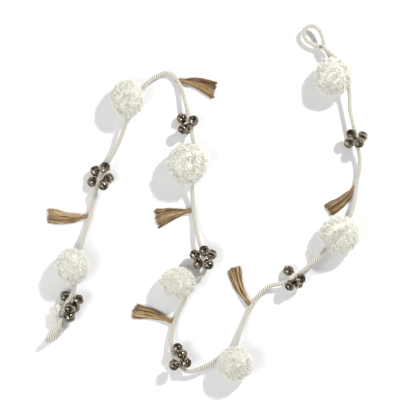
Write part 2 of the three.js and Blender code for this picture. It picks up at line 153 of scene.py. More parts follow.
def evenly(line, step):
    """The line with its points a step apart, and the length run at each: the sum of the chords."""
    run = np.concatenate([[0], np.cumsum(np.linalg.norm(np.diff(line, axis=0), axis=1))])
    marks = np.linspace(0, run[-1], round(run[-1] / step) + 1)
    return read_off(marks, run, line), marks


def steady_sides(line):
    """A direction across each point of the line that never spins about it: the level one, turned
    back by the sum of the spins that the level ones make from point to point."""
    along = unit(np.gradient(line, axis=0))
    level = unit(np.cross(along, UP))
    over = np.cross(level, along)
    here, there = along[:-1], along[1:]
    bend = np.cross(here, there)
    fold = 1 + np.sum(here * there, axis=1, keepdims=True)
    swung = np.cross(bend, level[:-1])
    carried = level[:-1] + swung + np.cross(bend, swung) / fold
    spin = np.arctan2(np.sum(carried * over[1:], axis=1), np.sum(carried * level[1:], axis=1))
    turn = np.concatenate([[0], np.cumsum(spin)])[:, None]
    return np.cos(turn) * level + np.sin(turn) * over


def ring_corners(rings, around):
    """The numbers of the corners in all rings but the last, and of the one beside each: ring times
    around plus place, where the last place has the first beside it."""
    start = np.arange(rings - 1)[:, None] * around
    place = np.arange(around)[None]
    return start + place, start + (place + 1) % around


def tube(line, side, radii):
    """Rings of corners about a line: the point plus radius times (cos a side + sin a over). radii
    has a row for each point and a column for each corner. Gives corners, quads and two end caps."""
    count, around = radii.shape
    along = unit(np.gradient(line, axis=0))
    over = np.cross(side, along)
    angle = (np.arange(around) / around * 2 * np.pi)[None, :, None]
    ring = np.cos(angle) * side[:, None] + np.sin(angle) * over[:, None]
    corners = (line[:, None] + radii[..., None] * ring).reshape(-1, 3)
    a, b = ring_corners(count, around)
    quads = np.stack([a, a + around, b + around, b], axis=-1).reshape(-1, 4)
    caps = np.stack([np.arange(around), (count * around - 1) - np.arange(around)])
    return corners, [quads, caps]


def make_piece(name, corners, faces, material, **values):
    """A smooth mesh object from an array of corners and arrays of faces, with a named value or
    vector for each corner."""
    mesh = bpy.data.meshes.new(name)
    sizes = np.concatenate([np.full(len(part), part.shape[1]) for part in faces])
    loops = np.concatenate([part.ravel() for part in faces]).astype(np.int32)
    mesh.vertices.add(len(corners))
    mesh.vertices.foreach_set("co", np.asarray(corners, dtype=np.float32).ravel())
    mesh.loops.add(len(loops))
    mesh.loops.foreach_set("vertex_index", loops)
    mesh.polygons.add(len(sizes))
    mesh.polygons.foreach_set("loop_start", (np.cumsum(sizes) - sizes).astype(np.int32))
    mesh.polygons.foreach_set("use_smooth", np.ones(len(sizes), dtype=bool))
    for key, value in values.items():
        kind, field = ("FLOAT", "value") if value.ndim == 1 else ("FLOAT_VECTOR", "vector")
        made = mesh.attributes.new(key, kind, "POINT")
        made.data.foreach_set(field, value.astype(np.float32).ravel())
    mesh.update(calc_edges=True)
    mesh.validate()
    mesh.materials.append(material)
    piece = bpy.data.objects.new(name, mesh)
    bpy.context.scene.collection.objects.link(piece)
    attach(piece, "root")
    return piece


def linear(colour):
    """An sRGB hex colour as the linear red, green, blue and alpha that shaders take."""
    parts = np.array([int(colour[k:k + 2], 16) / 255 for k in (1, 3, 5)])
    parts = np.where(parts <= 0.04045, parts / 12.92, ((parts + 0.055) / 1.055) ** 2.4)
    return (*parts, 1.0)


def new_material(name, **values):
    """A material with its Principled shader's own sockets set; gives it, its tree and the shader."""
    material = bpy.data.materials.new(name)
    material.use_nodes = True
    shader = material.node_tree.nodes["Principled BSDF"]
    for key, value in values.items():
        shader.inputs[key.replace("_", " ")].default_value = value
    return material, material.node_tree, shader


def add_node(tree, kind, inputs=None, **settings):
    """Adds a node: settings are its own, and inputs gives a value or another node's socket to each
    of its sockets by name or number."""
    made = tree.nodes.new(kind)
    for key, value in settings.items():
        setattr(made, key, value)
    for key, value in (inputs or {}).items():
        if isinstance(value, bpy.types.NodeSocket):
            tree.links.new(value, made.inputs[key])
        else:
            made.inputs[key].default_value = value
    return made


# Carded cotton, undyed: matte, with fine fibres that run along the rope, and shade painted into its
# grooves.
# The fibres are drawn 0.8 mm wide and 3 mm long, coarser than real ones, so that they show.
cotton, tree, shader = new_material(
    "carded_cotton", Roughness=0.92, Sheen_Weight=0.25, Sheen_Roughness=0.5)
lie = add_node(tree, "ShaderNodeAttribute", attribute_name="lie")
fibres = add_node(
    tree, "ShaderNodeTexNoise", {"Vector": lie.outputs["Vector"], "Scale": 5.0, "Detail": 4.0})
skein = add_node(
    tree, "ShaderNodeMix", {0: fibres.outputs["Fac"], 6: linear("#E2DED0"), 7: linear("#ECE9DD")},
    data_type="RGBA")
groove = add_node(tree, "ShaderNodeAttribute", attribute_name="depth")
# Painted shade: the deeper in a groove, the more the colour goes to a dark brown grey
groove_shade_and_chaff = add_node(
    tree, "ShaderNodeMix", {0: groove.outputs["Fac"], 6: skein.outputs[2], 7: linear("#564E3E")},
    data_type="RGBA")
tree.links.new(groove_shade_and_chaff.outputs[2], shader.inputs["Base Color"])
bump = add_node(
    tree, "ShaderNodeBump", {"Height": fibres.outputs["Fac"], "Strength": 0.5, "Distance": 0.0005})
tree.links.new(bump.outputs["Normal"], shader.inputs["Normal"])

route = np.vstack([loop_points(**LOWER_LOOP), RUN, loop_points(**UPPER_LOOP), TAIL])
rope_line, rope_marks = evenly(smooth_line(route), ROPE_STEP)
rope_side = steady_sides(rope_line)

# Three lobes that turn once in each lay: the radius is full over a strand and least in the grooves
angle = np.arange(ROPE_AROUND) / ROPE_AROUND * 2 * np.pi
strand = ROPE_STRANDS / 2 * (angle[None] - 2 * np.pi * rope_marks[:, None] / ROPE_LAY)
dip = 1 - np.abs(np.cos(strand))
corners, faces = tube(rope_line, rope_side, ROPE_RADIUS * (1 - STRAND_GROOVE * dip))
fibre_lie = np.stack([
    np.tile(np.cos(angle), len(rope_line)), np.tile(np.sin(angle), len(rope_line)),
    np.repeat(rope_marks, ROPE_AROUND) * FIBRES_ALONG], axis=1)
rope = make_piece("rope_strands", corners, faces, cotton, lie=fibre_lie, depth=dip.ravel())
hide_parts("rope")

# Pompoms: dense balls of soft acrylic yarn, tied round the rope and cut to a ball. The cut ends
# gather in clumps and curl, and two of the balls have a shallow crease above the rope.

# A row for each: its node, the ball's half sizes across, along and up, and the y past which the
# rope pulls a crease into it
POMPOMS = [
    {"node": "pompom_1", "half": (0.0275, 0.0305, 0.0275), "creased": None},
    {"node": "pompom_2", "half": (0.027, 0.032, 0.0285), "creased": None},
    {"node": "pompom_3", "half": (0.0335, 0.0345, 0.032), "creased": 0.08},
    {"node": "pompom_4", "half": (0.0285, 0.0265, 0.0265), "creased": None},
    {"node": "pompom_5", "half": (0.029, 0.028, 0.027), "creased": None},
    {"node": "pompom_6", "half": (0.0325, 0.0315, 0.0305), "creased": None},
    {"node": "pompom_7", "half": (0.031, 0.0315, 0.0295), "creased": 0.2},
]
POMPOM_SEED = 100
# A ball's middle stands a little under its half height, as the yarns below give way
SETTLED = 0.97
STRAND_SIDES = 3
YARNS = 5000
YARN_RADIUS = 0.00076
# The thinnest and the thickest yarn, as shares of that radius
YARN_THICKNESS = (0.7, 1.3)
# A yarn's rings, from its hidden end to its cut one: how far along it each stands, how thick it is
# and how much painted deep shade it has
YARN_SHARE = np.array([0.82, 0.93, 1.0])
YARN_TAPER = np.array([1, 1, 0.6])
YARN_DEPTH = np.array([1.0, 0.4, 0.0])
CLUMPS = 460
# How far a cut end leans to the middle of its clump, and the spread of its own way
CLUMP_PULL = 0.38
LEAN_SPREAD = 0.03
# How far the cut ends reach, as a share of the ball's half size: in the mean, the spreads between
# clumps and between yarns, and the most
YARN_REACH = 0.935
CLUMP_SPREAD = 0.056
REACH_SPREAD = 0.03
REACH_LIMIT = 1.07
# This share of the yarns are strays, which are thinner and stand out further by these shares
STRAY_SHARE = 0.17
STRAY_REACH = (0.02, 0.16)
STRAY_THIN = 0.65
# A yarn's end curls this far from its way, and by this many radians
CURL_SIZE = (0.0004, 0.0018)
CURL_TURN = 9
HAIRS = 1000
HAIR_RADIUS = 0.00042
HAIR_REACH = (0.93, 1.05)
HAIR_TONE = (0.6, 1)
# A hair's rings: how far out each stands as a share of its reach, how thick it is and how far it
# bends to the side
HAIR_SHARE = np.array([0.86, 0.98, 1.08])
HAIR_TAPER = np.array([1, 0.9, 0.4])
HAIR_BEND = np.array([0, 0.0008, 0.0035])
# The core inside is a ball of this share of the half size, with each corner shaken in or out
CORE_SHARE = 0.86
CORE_ROWS = 28
CORE_AROUND = 44
CORE_SHAKE = 0.02
# Yarn keeps at least this far from the rope's middle, and the hidden core a little less
YARN_CLEARANCE = 0.0053
CORE_CLEARANCE = 0.0048
CORE_OFF_FLOOR = 0.0005
# Only rope within this distance of a piece's middle is looked at
NEAR_ROPE = 0.05
# The crease's half width and depth, and the least height at which the rope makes one
CREASE_HALF = 0.0065
CREASE_DEPTH = 0.005
CREASED_ABOVE = 0.0185


def ball_directions(count, rng, shake):
    """Directions spread evenly over a ball on a golden spiral, each shaken a little."""
    k = np.arange(count) + 0.5
    height = 1 - 2 * k / count
    turn = k * np.pi * (3 - 5**0.5)
    level = np.sqrt(1 - height**2)
    even = np.stack([level * np.cos(turn), level * np.sin(turn), height], axis=1)
    return unit(even + rng.normal(0, shake / count**0.5, (count, 3)))


def curled(paths, way, size, turn, rng):
    """Each path with a coil added across its way: size times (cos a first + sin a second), where a
    starts anywhere and grows by turn."""
    first = unit(np.cross(way, rng.normal(0, 1, way.shape)))
    second = np.cross(way, first)
    swing = rng.uniform(0, 2 * np.pi, (len(way), 1)) + turn
    paths = paths + (size * np.cos(swing))[..., None] * first[:, None]
    return paths + (size * np.sin(swing))[..., None] * second[:, None]


def strands(paths, radii):
    """Thin closed tubes, one for each row of paths (strand, ring, xyz). Each ring stands across its
    strand's own slope and has its radius; corners lie at cos a across + sin a over."""
    count, rings, _ = paths.shape
    along = unit(np.gradient(paths, axis=1))
    trend = unit(paths[:, -1] - paths[:, 0])
    least = np.eye(3)[np.argmin(np.abs(trend), axis=1)]
    across = np.cross(trend, least)[:, None]
    across = unit(across - np.sum(across * along, axis=2, keepdims=True) * along)[:, :, None]
    over = np.cross(across, along[:, :, None])
    angle = (np.arange(STRAND_SIDES) / STRAND_SIDES * 2 * np.pi)[:, None]
    turned = np.cos(angle) * across + np.sin(angle) * over
    corners = (paths[:, :, None] + radii[..., None, None] * turned).reshape(-1, 3)
    a, b = ring_corners(rings, STRAND_SIDES)
    quads = np.stack([a, a + STRAND_SIDES, b + STRAND_SIDES, b], axis=-1).reshape(-1, 4)
    place = np.arange(STRAND_SIDES)
    caps = np.stack([place, rings * STRAND_SIDES - 1 - place])
    shift = (np.arange(count) * rings * STRAND_SIDES)[:, None, None]
    return corners, [(quads + shift).reshape(-1, 4), (caps + shift).reshape(-1, STRAND_SIDES)]


def joined(*parts):
    """Several (corners, faces) as one, with the face lists of each kind kept apart."""
    starts = np.cumsum([0] + [len(corners) for corners, _ in parts])
    faces = [face + start for (_, group), start in zip(parts, starts) for face in group]
    return np.vstack([corners for corners, _ in parts]), faces


def closed_rings(rings, first, last):
    """A closed skin over rings of corners (ring, corner, xyz) between a first and a last point:
    quads between the rings, and triangles from each end ring to its point. It faces outwards where
    the rings go up, and inwards where they go down."""
    count, around, _ = rings.shape
    a, b = ring_corners(count, around)
    quads = np.stack([a, b, b + around, a + around], axis=-1).reshape(-1, 4)
    point = np.full(around, count * around)
    start = np.stack([b[0], a[0], point], axis=-1)
    end = np.stack([a[-1] + around, b[-1] + around, point + 1], axis=-1)
    return np.vstack([rings.reshape(-1, 3), [first, last]]), [quads, np.vstack([start, end])]


def off_floor(points, rest, ease=0.001):
    """Keeps points at or above the height rest: from rest + ease downwards they fall off as
    rest + ease exp((z - rest - ease) / ease)."""
    over = points[..., 2] - rest - ease
    eased = np.where(over < 0, rest + ease * np.exp(np.minimum(over, 0) / ease), points[..., 2])
    return np.concatenate([points[..., :2], eased[..., None]], axis=-1)


def nearby(line, points):
    """Every other point of the line that lies within NEAR_ROPE of the points' middle."""
    return line[np.linalg.norm(line - points.mean(axis=0), axis=1) < NEAR_ROPE][::2]


def clear_of_rope(points, gap):
    """Moves points that lie within gap of the rope straight out to it."""
    flat = points.reshape(-1, 3)
    near = nearby(rope_line, flat)
    away = flat[:, None] - near[None]
    nearest = np.argmin(np.linalg.norm(away, axis=2), axis=1)
    out = away[np.arange(len(flat)), nearest]
    distance = np.linalg.norm(out, axis=1, keepdims=True)
    return np.where(distance < gap, near[nearest] + out / distance * gap, flat).reshape(points.shape)


def creased(points, start):
    """Sinks points above the rope into a crease, by CREASE_DEPTH (1 - d / CREASE_HALF)^0.7 where d
    is how far they lie beside it, on the stretch with y past start."""
    flat = points.reshape(-1, 3)
    shown = rope_line[(rope_line[:, 1] > start) & (rope_line[:, 2] > CREASED_ABOVE)]
    shown = nearby(shown, flat)
    away = np.linalg.norm(flat[:, None, :2] - shown[None, :, :2], axis=2)
    nearest = np.argmin(away, axis=1)
    beside = away[np.arange(len(flat)), nearest]
    depth = CREASE_DEPTH * np.clip(1 - beside / CREASE_HALF, 0, 1) ** 0.7
    depth = np.where(flat[:, 2] > shown[nearest, 2], depth, 0)
    return (flat - depth[:, None] * UP).reshape(points.shape)


def ball(half, rng):
    """The hidden inside of a pompom or knot: half times (cos rise cos turn, cos rise sin turn,
    sin rise), with each corner shaken in or out by up to CORE_SHAKE."""
    rise = np.linspace(-np.pi / 2, np.pi / 2, CORE_ROWS + 1)[1:-1, None]
    turn = np.linspace(0, 2 * np.pi, CORE_AROUND, endpoint=False)[None]
    rows = np.stack(
        [np.cos(rise) * np.cos(turn), np.cos(rise) * np.sin(turn), np.sin(rise) + 0 * turn], axis=-1)
    rows = rows * (1 + rng.uniform(-CORE_SHAKE, CORE_SHAKE, rows.shape[:2])[..., None])
    return closed_rings(half * rows, -half * UP, half * UP)


def pompom(centre, half, crease, rng):
    """Yarns from inside the ball to its surface, hairs between them and the ball inside. A yarn's
    point is share times reach along its way, which turns into the lean to its clump by the cube of
    share; its curl grows with the fourth power. A hair goes straight out and bends to one side.
    Gives corners, faces, and each corner's tone and how deep it lies."""

    def placed(points, clearance, rest):
        # In the layout, creased above the rope, clear of it and off the floor
        points = centre + points
        if crease:
            points = creased(points, crease)
        return off_floor(clear_of_rope(points, clearance), rest)

    clumps = ball_directions(CLUMPS, rng, shake=1.6)
    tall = rng.normal(0, CLUMP_SPREAD, CLUMPS)
    way = ball_directions(YARNS, rng, shake=1.4)
    home = np.argmax(way @ clumps.T, axis=1)
    pulled = CLUMP_PULL * (clumps[home] - way)
    lean = unit(way + pulled + rng.normal(0, LEAN_SPREAD, (YARNS, 3)))
    reach = YARN_REACH + tall[home] + rng.normal(0, REACH_SPREAD, YARNS)
    reach = np.minimum(reach, REACH_LIMIT)
    stray = rng.uniform(0, 1, YARNS) < STRAY_SHARE
    reach = reach + np.where(stray, rng.uniform(*STRAY_REACH, YARNS), 0)
    share = YARN_SHARE[:, None]
    bend = share**3
    path = (way[:, None] * (1 - bend) + lean[:, None] * bend) * share
    path = path * reach[:, None, None] * half
    curl = rng.uniform(*CURL_SIZE, (YARNS, 1)) * YARN_SHARE**4
    path = curled(path, way, curl, CURL_TURN * YARN_SHARE, rng)
    thick = YARN_RADIUS * rng.uniform(*YARN_THICKNESS, (YARNS, 1)) * YARN_TAPER
    thick = thick * np.where(stray, STRAY_THIN, 1)[:, None]
    yarn = strands(placed(path, YARN_CLEARANCE, YARN_RADIUS), thick)

    way = ball_directions(HAIRS, rng, shake=3.0)
    side = unit(np.cross(way, rng.normal(0, 1, (HAIRS, 3))))
    reach = rng.uniform(*HAIR_REACH, (HAIRS, 1, 1))
    path = way[:, None] * HAIR_SHARE[:, None] * reach * half + side[:, None] * HAIR_BEND[:, None]
    hair = strands(
        placed(path, YARN_CLEARANCE, HAIR_RADIUS), np.tile(HAIR_RADIUS * HAIR_TAPER, (HAIRS, 1)))

    core_corners, core_faces = ball(CORE_SHARE * half, rng)
    core = (placed(core_corners, CORE_CLEARANCE, CORE_OFF_FLOOR), core_faces)
    corners, faces = joined(yarn, hair, core)
    tone = np.concatenate([
        np.repeat(rng.uniform(0, 1, YARNS), len(yarn[0]) // YARNS),
        np.repeat(rng.uniform(*HAIR_TONE, HAIRS), len(hair[0]) // HAIRS), np.zeros(len(core[0]))])
    # How deep each corner lies, which the material paints with shade
    inner = np.concatenate([
        np.tile(np.repeat(YARN_DEPTH, STRAND_SIDES), YARNS), np.zeros(len(hair[0])),
        np.ones(len(core[0]))])
    return corners, faces, tone, inner


# Brushed acrylic yarn: pure matte white fluff, with shade painted a touch warmer and darker deep
# between the yarns.
# The bump stands for loose fibres, 2500 to a metre or 0.4 mm apart, as fine as the render shows.
yarn_stuff, tree, shader = new_material(
    "brushed_acrylic_yarn", Roughness=0.95, Sheen_Weight=0.3, Sheen_Roughness=0.5)
tone = add_node(tree, "ShaderNodeAttribute", attribute_name="tone")
inner = add_node(tree, "ShaderNodeAttribute", attribute_name="inner")
skein = add_node(
    tree, "ShaderNodeMix", {0: tone.outputs["Fac"], 6: linear("#FAF9EF"), 7: linear("#FEFDF5")},
    data_type="RGBA")
# Painted shade: deep in the ball the colour goes to a darker, warmer ivory
painted_deep_shade = add_node(
    tree, "ShaderNodeMix", {0: inner.outputs["Fac"], 6: skein.outputs[2], 7: linear("#F9F7EB")},
    data_type="RGBA")
tree.links.new(painted_deep_shade.outputs[2], shader.inputs["Base Color"])
place = add_node(tree, "ShaderNodeTexCoord")
fluff = add_node(
    tree, "ShaderNodeTexNoise", {"Vector": place.outputs["Object"], "Scale": 2500.0, "Detail": 2.0})
bump = add_node(
    tree, "ShaderNodeBump", {"Height": fluff.outputs["Fac"], "Strength": 0.6, "Distance": 0.0004})
tree.links.new(bump.outputs["Normal"], shader.inputs["Normal"])

for number, row in enumerate(POMPOMS):
    rng = np.random.default_rng(POMPOM_SEED + number)
    low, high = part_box(row["node"])
    half = np.array(row["half"])
    centre = np.array([(low[0] + high[0]) / 2, (low[1] + high[1]) / 2, SETTLED * half[2]])
    corners, faces, tone_values, inner_values = pompom(centre, half, row["creased"], rng)
    piece = make_piece(
        row["node"] + "_yarn", corners, faces, yarn_stuff, tone=tone_values, inner=inner_values)
    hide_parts(row["node"])

# Tassels: jute yarn folded round the rope from below, bound at the neck and cut straight. Each lies
# on the surface, spread like a fan, with the ends a little uneven.

# A row for each: its node, the middle of its cut end, the width there, the sideways bow of the
# skirt, and the power of its way along at which it widens
TASSELS = [
    {"node": "tassel_1", "end": (-0.2695, 0.004), "width": 0.024, "bend": 0.004, "flare": 0.5},
    {"node": "tassel_2", "end": (0.0125, 0.2195), "width": 0.030, "bend": 0.004, "flare": 0.7},
    {"node": "tassel_3", "end": (-0.085, -0.001), "width": 0.0325, "bend": -0.002, "flare": 0.8},
    {"node": "tassel_4", "end": (-0.1235, -0.1585), "width": 0.0235, "bend": -0.003, "flare": 0.8},
    {"node": "tassel_5", "end": (0.0465, -0.0865), "width": 0.0225, "bend": 0.005, "flare": 0.7},
    {"node": "tassel_6", "end": (0.209, 0.014), "width": 0.0235, "bend": 0.005, "flare": 0.55},
]
TASSEL_SEED = 200
# The rope is lowest where it bears a tassel
SEAT_HEIGHT = 0.0063
JUTE_BUNDLES = 24
JUTE_STRANDS = 360
JUTE_RADIUS = 0.00048
# The thinnest and the thickest strand, as shares of that radius
JUTE_THICKNESS = (0.7, 1.2)
# How much the bundles, and the strands in each, differ: in their place across the skirt and up in
# it, as shares of its half width and thickness, in their cut length, as a share of it, in their
# waver, in metres, and in their shade
BUNDLES_DIFFER = {"across": 0.02, "up": 0.1, "cut": 0.022, "waver": 0.0009, "shade": 0.24}
STRANDS_DIFFER = {"across": 0.03, "up": 0.13, "cut": 0.014, "waver": 0.0006, "shade": 0.28}
# The outermost bundles' place across the skirt, and how high up in it the bundles lie by turns
OUTERMOST = 0.95
UPPER_LEVEL = 0.78
LOWER_LEVEL = 0.22
MEAN_SHADE = 0.45
# The neck: how far from the rope it starts and ends, its radius, and how much lower it lies
NECK_FROM = 0.0046
NECK_TO = 0.0145
NECK_RADIUS = 0.0033
NECK_DROP = 0.0013
# A strand's rings: how far each stands on its way from the neck to the cut end, after one at the
# rope, and how thick it is
SKIRT_RUN = np.array([0, 0, 0.1, 0.28, 0.52, 0.78, 1.0])
SKIRT_TAPER = np.array([1, 1, 1, 1, 1, 1, 0.8])
# How thick the skirt is, and how far single strands stand out of it
SKIRT_THICK = 0.0046
SKIRT_RUFFLE = 0.0006
# The skirt has sunk to the floor by this share of its way, and its edges are rounded off this much
SUNK_BY = 0.3
EDGE_ROUNDING = 0.9
# A strand's rings in the fold: the turn round the rope in degrees, and half the fold's width
FOLD_TURN = np.array([172, 150, 128, 106, 84, 64, 50])
FOLD_HALF = np.array([0.0028, 0.003, 0.0031, 0.0031, 0.003, 0.0028, 0.0022])
FOLD_STRANDS = 44
FOLD_RADIUS = 1.1 * JUTE_RADIUS
FOLD_OFF_FLOOR = 1.2 * JUTE_RADIUS
FOLD_SHADE = (0.2, 0.9)
# How far the fold's strands pass from the rope's middle, and how much further the loosest do
FOLD_RING = 0.0049
FOLD_LOOSE = 0.0007
# The binding: how far from the rope it starts, its turns, their spacing and its yarn's radius
BINDING_FROM = 0.0058
BINDING_TURNS = 8
BINDING_PITCH = 0.00088
BINDING_RADIUS = 0.00046
BINDING_STEPS = 16
BINDING_SIDES = 6
BINDING_SHADE = 0.55


def tassel(seat, end, width, bend, flare, rng):
    """Strands from a round neck into a flat skirt. In the neck they fill a disc. In the skirt they
    keep their share of its width, which widens as their way along to the power flare, waver more
    and more, and sink to the floor in bundles, every other one on top. Under the rope the fold is
    an arc of strands, and the binding is a coil round the neck. Gives corners, faces and tones."""
    out = np.array([end[0] - seat[0], end[1] - seat[1], 0])
    length = np.linalg.norm(out)
    out = out / length
    across = np.cross(UP, out)
    flat = seat * np.array([1, 1, 0])
    neck_height = seat[2] - NECK_DROP
    rings = len(SKIRT_RUN)

    def place(distance, sideways, height):
        # The point so far out from the rope, so far beside the bowed middle and so high
        bow = bend * np.sin(np.pi * distance / length)
        return (
            flat + distance[..., None] * out + (sideways + bow)[..., None] * across
            + height[..., None] * UP)

    bundle = np.arange(JUTE_STRANDS) % JUTE_BUNDLES
    middle = np.linspace(-OUTERMOST, OUTERMOST, JUTE_BUNDLES)
    middle = middle + rng.normal(0, BUNDLES_DIFFER["across"], JUTE_BUNDLES)
    level = np.where(np.arange(JUTE_BUNDLES) % 2 == 0, UPPER_LEVEL, LOWER_LEVEL)
    level = level + rng.normal(0, BUNDLES_DIFFER["up"], JUTE_BUNDLES)
    share = middle[bundle] + rng.normal(0, STRANDS_DIFFER["across"], JUTE_STRANDS)
    share = np.clip(share, -1, 1)
    stack = level[bundle] + rng.normal(0, STRANDS_DIFFER["up"], JUTE_STRANDS)
    stack = np.clip(stack, 0, 1)[:, None]
    cut = 1 + rng.normal(0, BUNDLES_DIFFER["cut"], JUTE_BUNDLES)[bundle]
    cut = length * (cut + rng.normal(0, STRANDS_DIFFER["cut"], JUTE_STRANDS))
    distance = NECK_TO + (cut[:, None] - NECK_TO) * SKIRT_RUN
    distance[:, 0] = NECK_FROM
    spread = NECK_RADIUS + (width / 2 - NECK_RADIUS) * SKIRT_RUN**flare
    waver = rng.normal(0, STRANDS_DIFFER["waver"], (JUTE_STRANDS, rings))
    waver = waver + rng.normal(0, BUNDLES_DIFFER["waver"], (JUTE_BUNDLES, rings))[bundle]
    sideways = share[:, None] * spread + waver * SKIRT_RUN**0.7
    round_over = np.sqrt(1 - EDGE_ROUNDING * share**2)[:, None]
    in_neck = neck_height + (stack * 2 - 1) * NECK_RADIUS * round_over
    in_skirt = JUTE_RADIUS + stack * round_over**0.5 * SKIRT_THICK
    in_skirt = in_skirt + rng.uniform(0, SKIRT_RUFFLE, (JUTE_STRANDS, rings))
    sink = np.clip(SKIRT_RUN / SUNK_BY, 0, 1)
    sink = sink * sink * (3 - 2 * sink)
    path = place(distance, sideways, in_neck * (1 - sink) + in_skirt * sink)
    thick = JUTE_RADIUS * rng.uniform(*JUTE_THICKNESS, (JUTE_STRANDS, 1)) * SKIRT_TAPER
    skirt = strands(off_floor(path, JUTE_RADIUS, ease=0.0003), thick)

    # Each strand of the fold comes down from the neck, passes under the rope and ends behind it
    turn = np.radians(FOLD_TURN)
    ring = FOLD_RING + rng.uniform(0, FOLD_LOOSE, (FOLD_STRANDS, 1))
    narrow = rng.uniform(-1, 1, (FOLD_STRANDS, 1)) * FOLD_HALF
    height = np.maximum(seat[2] - ring * np.sin(turn), FOLD_OFF_FLOOR)
    loop = place(-ring * np.cos(turn), narrow, height)
    fold = strands(loop, np.full(narrow.shape, FOLD_RADIUS))

    coil = np.linspace(0, BINDING_TURNS * 2 * np.pi, BINDING_TURNS * BINDING_STEPS + 1)
    wide = NECK_RADIUS + BINDING_RADIUS
    coil_line = place(
        BINDING_FROM + BINDING_PITCH * coil / (2 * np.pi), wide * np.cos(coil),
        neck_height + wide * np.sin(coil))
    radial = np.cos(coil)[:, None] * across + np.sin(coil)[:, None] * UP
    binding = tube(coil_line, radial, np.full((len(coil), BINDING_SIDES), BINDING_RADIUS))

    corners, faces = joined(skirt, fold, binding)
    shade = rng.normal(MEAN_SHADE, BUNDLES_DIFFER["shade"], JUTE_BUNDLES)[bundle]
    shade = shade + rng.normal(0, STRANDS_DIFFER["shade"], JUTE_STRANDS)
    tone = np.concatenate([
        np.repeat(np.clip(shade, 0, 1), len(skirt[0]) // JUTE_STRANDS),
        np.repeat(rng.uniform(*FOLD_SHADE, FOLD_STRANDS), len(fold[0]) // FOLD_STRANDS),
        np.full(len(binding[0]), BINDING_SHADE)])
    return corners, faces, tone


# Jute: dry, coarse, straight bast fibre in browns that differ from strand to strand, with specks of
# chaff, 900 to a metre or 1.1 mm apart
jute, tree, shader = new_material(
    "retted_jute", Roughness=0.78, Sheen_Weight=0.15, Sheen_Roughness=0.4)
tone = add_node(tree, "ShaderNodeAttribute", attribute_name="tone")
shades = add_node(tree, "ShaderNodeValToRGB", {"Fac": tone.outputs["Fac"]})
shades.color_ramp.elements[0].color = linear("#453019")
shades.color_ramp.elements[1].color = linear("#DFC296")
shades.color_ramp.elements.new(0.5).color = linear("#97764A")
place = add_node(tree, "ShaderNodeTexCoord")
specks = add_node(
    tree, "ShaderNodeTexNoise", {"Vector": place.outputs["Object"], "Scale": 900.0, "Detail": 3.0})
chaff = add_node(
    tree, "ShaderNodeMapRange", {"Value": specks.outputs["Fac"], 1: 0.5, 2: 0.75, 3: 0.0, 4: 0.6})
groove_shade_and_chaff = add_node(
    tree, "ShaderNodeMix", {0: chaff.outputs[0], 6: shades.outputs["Color"], 7: linear("#8A6C43")},
    data_type="RGBA")
tree.links.new(groove_shade_and_chaff.outputs[2], shader.inputs["Base Color"])
bump = add_node(
    tree, "ShaderNodeBump", {"Height": specks.outputs["Fac"], "Strength": 0.5, "Distance": 0.0003})
tree.links.new(bump.outputs["Normal"], shader.inputs["Normal"])

seats = [point for point in RUN if point[2] == SEAT_HEIGHT]
for number, (row, seat) in enumerate(zip(TASSELS, seats)):
    rng = np.random.default_rng(TASSEL_SEED + number)
    corners, faces, tone_values = tassel(
        np.array(seat), row["end"], row["width"], row["bend"], row["flare"], rng)
    piece = make_piece(row["node"] + "_jute", corners, faces, jute, tone=tone_values)
    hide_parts(row["node"])

# Bell threads: cotton thread wound tightly round the rope under each cluster. It passes through
# the shanks of the bells and holds them to the rope.

CLUSTERS = 7
# The coil: its turns, half its length, how far out the thread's middle lies and its radius
THREAD_TURNS = 15
THREAD_HALF = 0.007
THREAD_OUT = 0.0046
THREAD_RADIUS = 0.00046
THREAD_STEPS = 18
THREAD_SIDES = 6
# How far the pattern of fibres moves on at each step, and how far the thread's colour goes to the
# dark of the rope's painted groove shade
THREAD_FIBRES = 0.3
THREAD_DARKENING = 0.15

for cluster in range(1, CLUSTERS + 1):
    low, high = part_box(f"bell_thread_{cluster}")
    middle = (np.array(low) + np.array(high)) / 2
    mark = rope_marks[np.argmin(np.linalg.norm(rope_line - middle, axis=1))]
    coil_marks = np.linspace(mark - THREAD_HALF, mark + THREAD_HALF, THREAD_TURNS * THREAD_STEPS + 1)
    line = read_off(coil_marks, rope_marks, rope_line)
    side = unit(read_off(coil_marks, rope_marks, rope_side))
    over = np.cross(side, unit(np.gradient(line, axis=0)))
    turn = np.linspace(0, THREAD_TURNS * 2 * np.pi, len(line))[:, None]
    radial = np.cos(turn) * side + np.sin(turn) * over
    corners, faces = tube(
        line + THREAD_OUT * radial, radial, np.full((len(line), THREAD_SIDES), THREAD_RADIUS))
    thread_lie = np.repeat(np.arange(len(line)) * THREAD_FIBRES, THREAD_SIDES)
    piece = make_piece(
        f"bell_thread_{cluster}_coil", corners, faces, cotton,
        lie=np.stack([thread_lie] * 3, axis=1), depth=np.full(len(corners), THREAD_DARKENING))
    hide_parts(f"bell_thread_{cluster}")

# Jingle bells: two halves pressed from thin steel and plated, with a pressed seam round the middle,
# crossed slots with round ends in the lower half, and a wire shank on top.

BELL_RADIUS = 0.0085
# A power of 2 makes a round dome, and a higher one a squarer dome
DOME_POWER = 2.7
# Each outer half dome ends this many degrees from the middle, where the seam begins
SEAM_RISE = 9
OUTER_ROWS = 13
INNER_ROWS = 15
BELL_WALL = 0.0006
BELL_AROUND = 36
RIM_RADIUS = 0.0097
RIM_HALF = 0.0006
RIM_ROUNDING = 0.0003
# The seam leaves the dome with a small step outwards
SEAM_STEP = 0.0002
# A slot: how far out its round ends stand, half its width, and the radius of the ends
SLOT_END = 0.0054
SLOT_HALF = 0.0011
HOLE_RADIUS = 0.0019
HOLE_POINTS = 13
# The slots are cut between these heights, through the lower half alone
CUT_FROM = -0.013
CUT_TO = -0.0035
